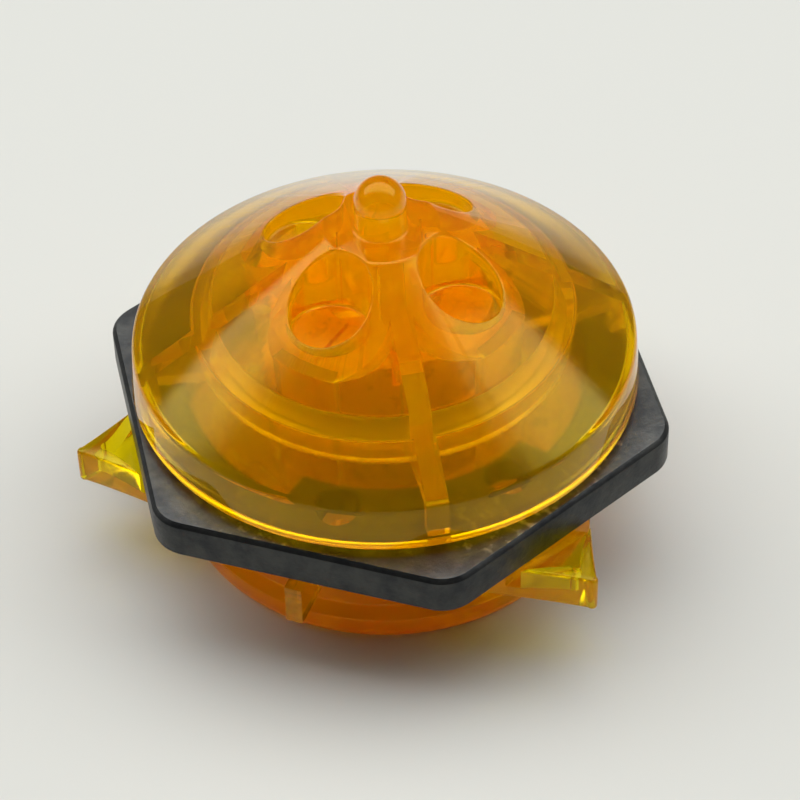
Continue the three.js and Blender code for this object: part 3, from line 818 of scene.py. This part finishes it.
def makeFloor():
    size, level = stage["floorSize"] / 2, stage["floorLevel"]
    mesh = bpy.data.meshes.new("floor")
    corners = [(x * size, y * size, level) for x, y in ((-1, -1), (1, -1), (1, 1), (-1, 1))]
    mesh.from_pydata(corners, [], [(0, 1, 2, 3)])
    floor = bpy.data.objects.new("floor", mesh)
    bpy.context.scene.collection.objects.link(floor)
    # Pale table, painted a little brighter towards the back of the picture and darker towards the camera,
    # as painted light and shade; far off it goes dim in everything but the camera's own view, as a sheet
    # on a darker table would
    material, tree = newMaterial("paleTable")
    links = tree.links
    result = addNode(tree, "ShaderNodeOutputMaterial")
    surface = addNode(tree, "ShaderNodeBsdfPrincipled")
    surface.inputs["Specular IOR Level"].default_value = stage["sheen"]
    place = addNode(tree, "ShaderNodeTexCoord")
    depth = addNode(tree, "ShaderNodeVectorMath", operation="DOT_PRODUCT")
    swing = math.radians(90 + view["azimuth"])
    depth.inputs[1].default_value = (math.cos(swing), math.sin(swing), 0)
    # Painted light and shade: the table's colour runs from near to far along the view
    fade = mapRange(tree, source=stage["nearToFar"], smooth=True)
    tone = addNode(tree, "ShaderNodeMix", data_type="RGBA")
    tone.inputs[6].default_value = stage["near"]
    tone.inputs[7].default_value = stage["far"]
    away = addNode(tree, "ShaderNodeVectorMath", operation="LENGTH")
    dim = mapRange(tree, source=stage["dimming"], target=(1.0, stage["dim"]), smooth=True)
    path = addNode(tree, "ShaderNodeLightPath")
    shown = addNode(tree, "ShaderNodeMath", operation="MAXIMUM")
    shade = addNode(tree, "ShaderNodeVectorMath", operation="SCALE")
    cloud = addNode(tree, "ShaderNodeTexNoise", Scale=24.0, Detail=4.0)
    rough = mapRange(tree, target=stage["finish"])
    links.new(place.outputs["Object"], depth.inputs[0])
    links.new(depth.outputs["Value"], fade.inputs["Value"])
    links.new(fade.outputs["Result"], tone.inputs[0])
    links.new(place.outputs["Object"], away.inputs[0])
    links.new(away.outputs["Value"], dim.inputs["Value"])
    links.new(dim.outputs["Result"], shown.inputs[0])
    links.new(path.outputs["Is Camera Ray"], shown.inputs[1])
    links.new(tone.outputs[2], shade.inputs["Vector"])
    links.new(shown.outputs["Value"], shade.inputs["Scale"])
    links.new(shade.outputs["Vector"], surface.inputs["Base Color"])
    links.new(place.outputs["Object"], cloud.inputs["Vector"])
    links.new(cloud.outputs["Fac"], rough.inputs["Value"])
    links.new(rough.outputs["Result"], surface.inputs["Roughness"])
    links.new(surface.outputs["BSDF"], result.inputs["Surface"])
    mesh.materials.append(material)
    return floor


def edgeFade(tree, value, middle, half, soft):
    # 1 within half of the middle, falling smoothly to 0 across a soft edge
    offset = addNode(tree, "ShaderNodeMath", operation="SUBTRACT")
    offset.inputs[1].default_value = middle
    away = addNode(tree, "ShaderNodeMath", operation="ABSOLUTE")
    fade = mapRange(tree, source=(half - soft, half + soft), target=(1.0, 0.0), smooth=True)
    tree.links.new(value, offset.inputs[0])
    tree.links.new(offset.outputs["Value"], away.inputs[0])
    tree.links.new(away.outputs["Value"], fade.inputs["Value"])
    return fade.outputs["Result"]


def makeLight():
    # A dim room under one wide soft panel: a rectangle with soft edges on a level plane at height 1,
    # where a direction (x, y, z) points at (x / z, y / z). The camera alone sees a pale backdrop
    world = bpy.data.worlds.new("studio")
    bpy.context.scene.world = world
    world.use_nodes = True
    tree = world.node_tree
    back = tree.nodes["Background"]
    place = addNode(tree, "ShaderNodeTexCoord")
    parts = addNode(tree, "ShaderNodeSeparateXYZ")
    height = addNode(tree, "ShaderNodeMath", operation="MAXIMUM")
    height.inputs[1].default_value = light["lowest"]
    panel = addNode(tree, "ShaderNodeMath", operation="MULTIPLY")
    strength = mapRange(tree, target=(light["room"], light["panel"]))
    back.inputs["Color"].default_value = light["colour"]
    links = tree.links
    links.new(place.outputs["Generated"], parts.inputs["Vector"])
    links.new(parts.outputs["Z"], height.inputs[0])
    ways = [(light["azimuth"] - 90, light["right"], light["halfWidth"]),
            (light["azimuth"], light["back"], light["halfDepth"])]
    for k, (azimuth, middle, half) in enumerate(ways):
        swing = math.radians(azimuth)
        along = addNode(tree, "ShaderNodeVectorMath", operation="DOT_PRODUCT")
        along.inputs[1].default_value = (math.cos(swing), math.sin(swing), 0)
        reach = addNode(tree, "ShaderNodeMath", operation="DIVIDE")
        links.new(place.outputs["Generated"], along.inputs[0])
        links.new(along.outputs["Value"], reach.inputs[0])
        links.new(height.outputs["Value"], reach.inputs[1])
        links.new(edgeFade(tree, reach.outputs["Value"], middle, half, light["soft"]), panel.inputs[k])
    links.new(panel.outputs["Value"], strength.inputs["Value"])
    path = addNode(tree, "ShaderNodeLightPath")
    seen = addNode(tree, "ShaderNodeMix")
    seen.inputs["B"].default_value = light["backdrop"]
    links.new(path.outputs["Is Camera Ray"], seen.inputs["Factor"])
    links.new(strength.outputs["Result"], seen.inputs["A"])
    links.new(seen.outputs["Result"], back.inputs["Strength"])


def makeCamera():
    turn = Matrix.Rotation(math.radians(view["azimuth"]), 3, "Z")
    e, roll = math.radians(view["elevation"]), math.radians(view["roll"])
    ahead = Vector((0, math.cos(e), -math.sin(e)))
    level = Vector((1, 0, 0))
    lift = level.cross(ahead)
    right = turn @ (math.cos(roll) * level + math.sin(roll) * lift)
    up = turn @ (math.cos(roll) * lift - math.sin(roll) * level)
    ahead = turn @ ahead
    aim = turn @ Vector((view["aimX"], 0, view["aimZ"])) + Vector((0, 0, rimBottom))
    place = (aim - ahead * view["distance"]) * mm
    data = bpy.data.cameras.new("camera")
    data.sensor_width, data.lens = view["sensor"], view["lens"]
    data.clip_start, data.clip_end = 0.01, 10
    camera = bpy.data.objects.new("camera", data)
    camera.matrix_world = Matrix((
        (right.x, up.x, -ahead.x, place.x),
        (right.y, up.y, -ahead.y, place.y),
        (right.z, up.z, -ahead.z, place.z),
        (0, 0, 0, 1),
    ))
    bpy.context.scene.collection.objects.link(camera)
    bpy.context.scene.camera = camera


makeCamera()
makeFloor()
makeLight()
print("stage ready")

skin = mouldedSkin()
shellPlastic = amberPlastic("shellPlastic", skin, "shell")
ringPlastic = amberPlastic("ringPlastic", skin, "ring")
innerPlastic = amberPlastic("innerPlastic", skin, "inner")
diskMetal = castMetal("diskMetal")

slotDirection = 540 / shell["ribCount"]
pieces = [
    (makeShell(), "base", "base_shell", "shell_plastic", shellPlastic),
    (makeGearHalf("spinGearLeft", slotDirection), "base", "spin_gear_left", "gear_plastic", innerPlastic),
    (makeGearHalf("spinGearRight", slotDirection + 180), "base", "spin_gear_right", "gear_plastic",
     innerPlastic),
    (makeCore(), "base", "gear_core", "core_plastic", innerPlastic),
    (makeRing(), "ring", "attack_ring", "ring_plastic", ringPlastic),
    (makeChip(), "ring", "face_chip", "chip_plastic", innerPlastic),
    (makeDisk(), "ring", "weight_disk", "disk_metal", diskMetal),
]
for piece, body, node, slot, material in pieces:
    piece.data.materials.clear()
    piece.data.materials.append(material)
    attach(piece, body)
    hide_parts(node)
print("pieces placed:", len(pieces))

scene = bpy.context.scene
scene.view_settings.view_transform = "Standard"
scene.cycles.max_bounces = 64
scene.cycles.diffuse_bounces = 16
scene.cycles.glossy_bounces = 32
scene.cycles.volume_bounces = 32
scene.cycles.blur_glossy = 0.0
scene.cycles.transmission_bounces = 32
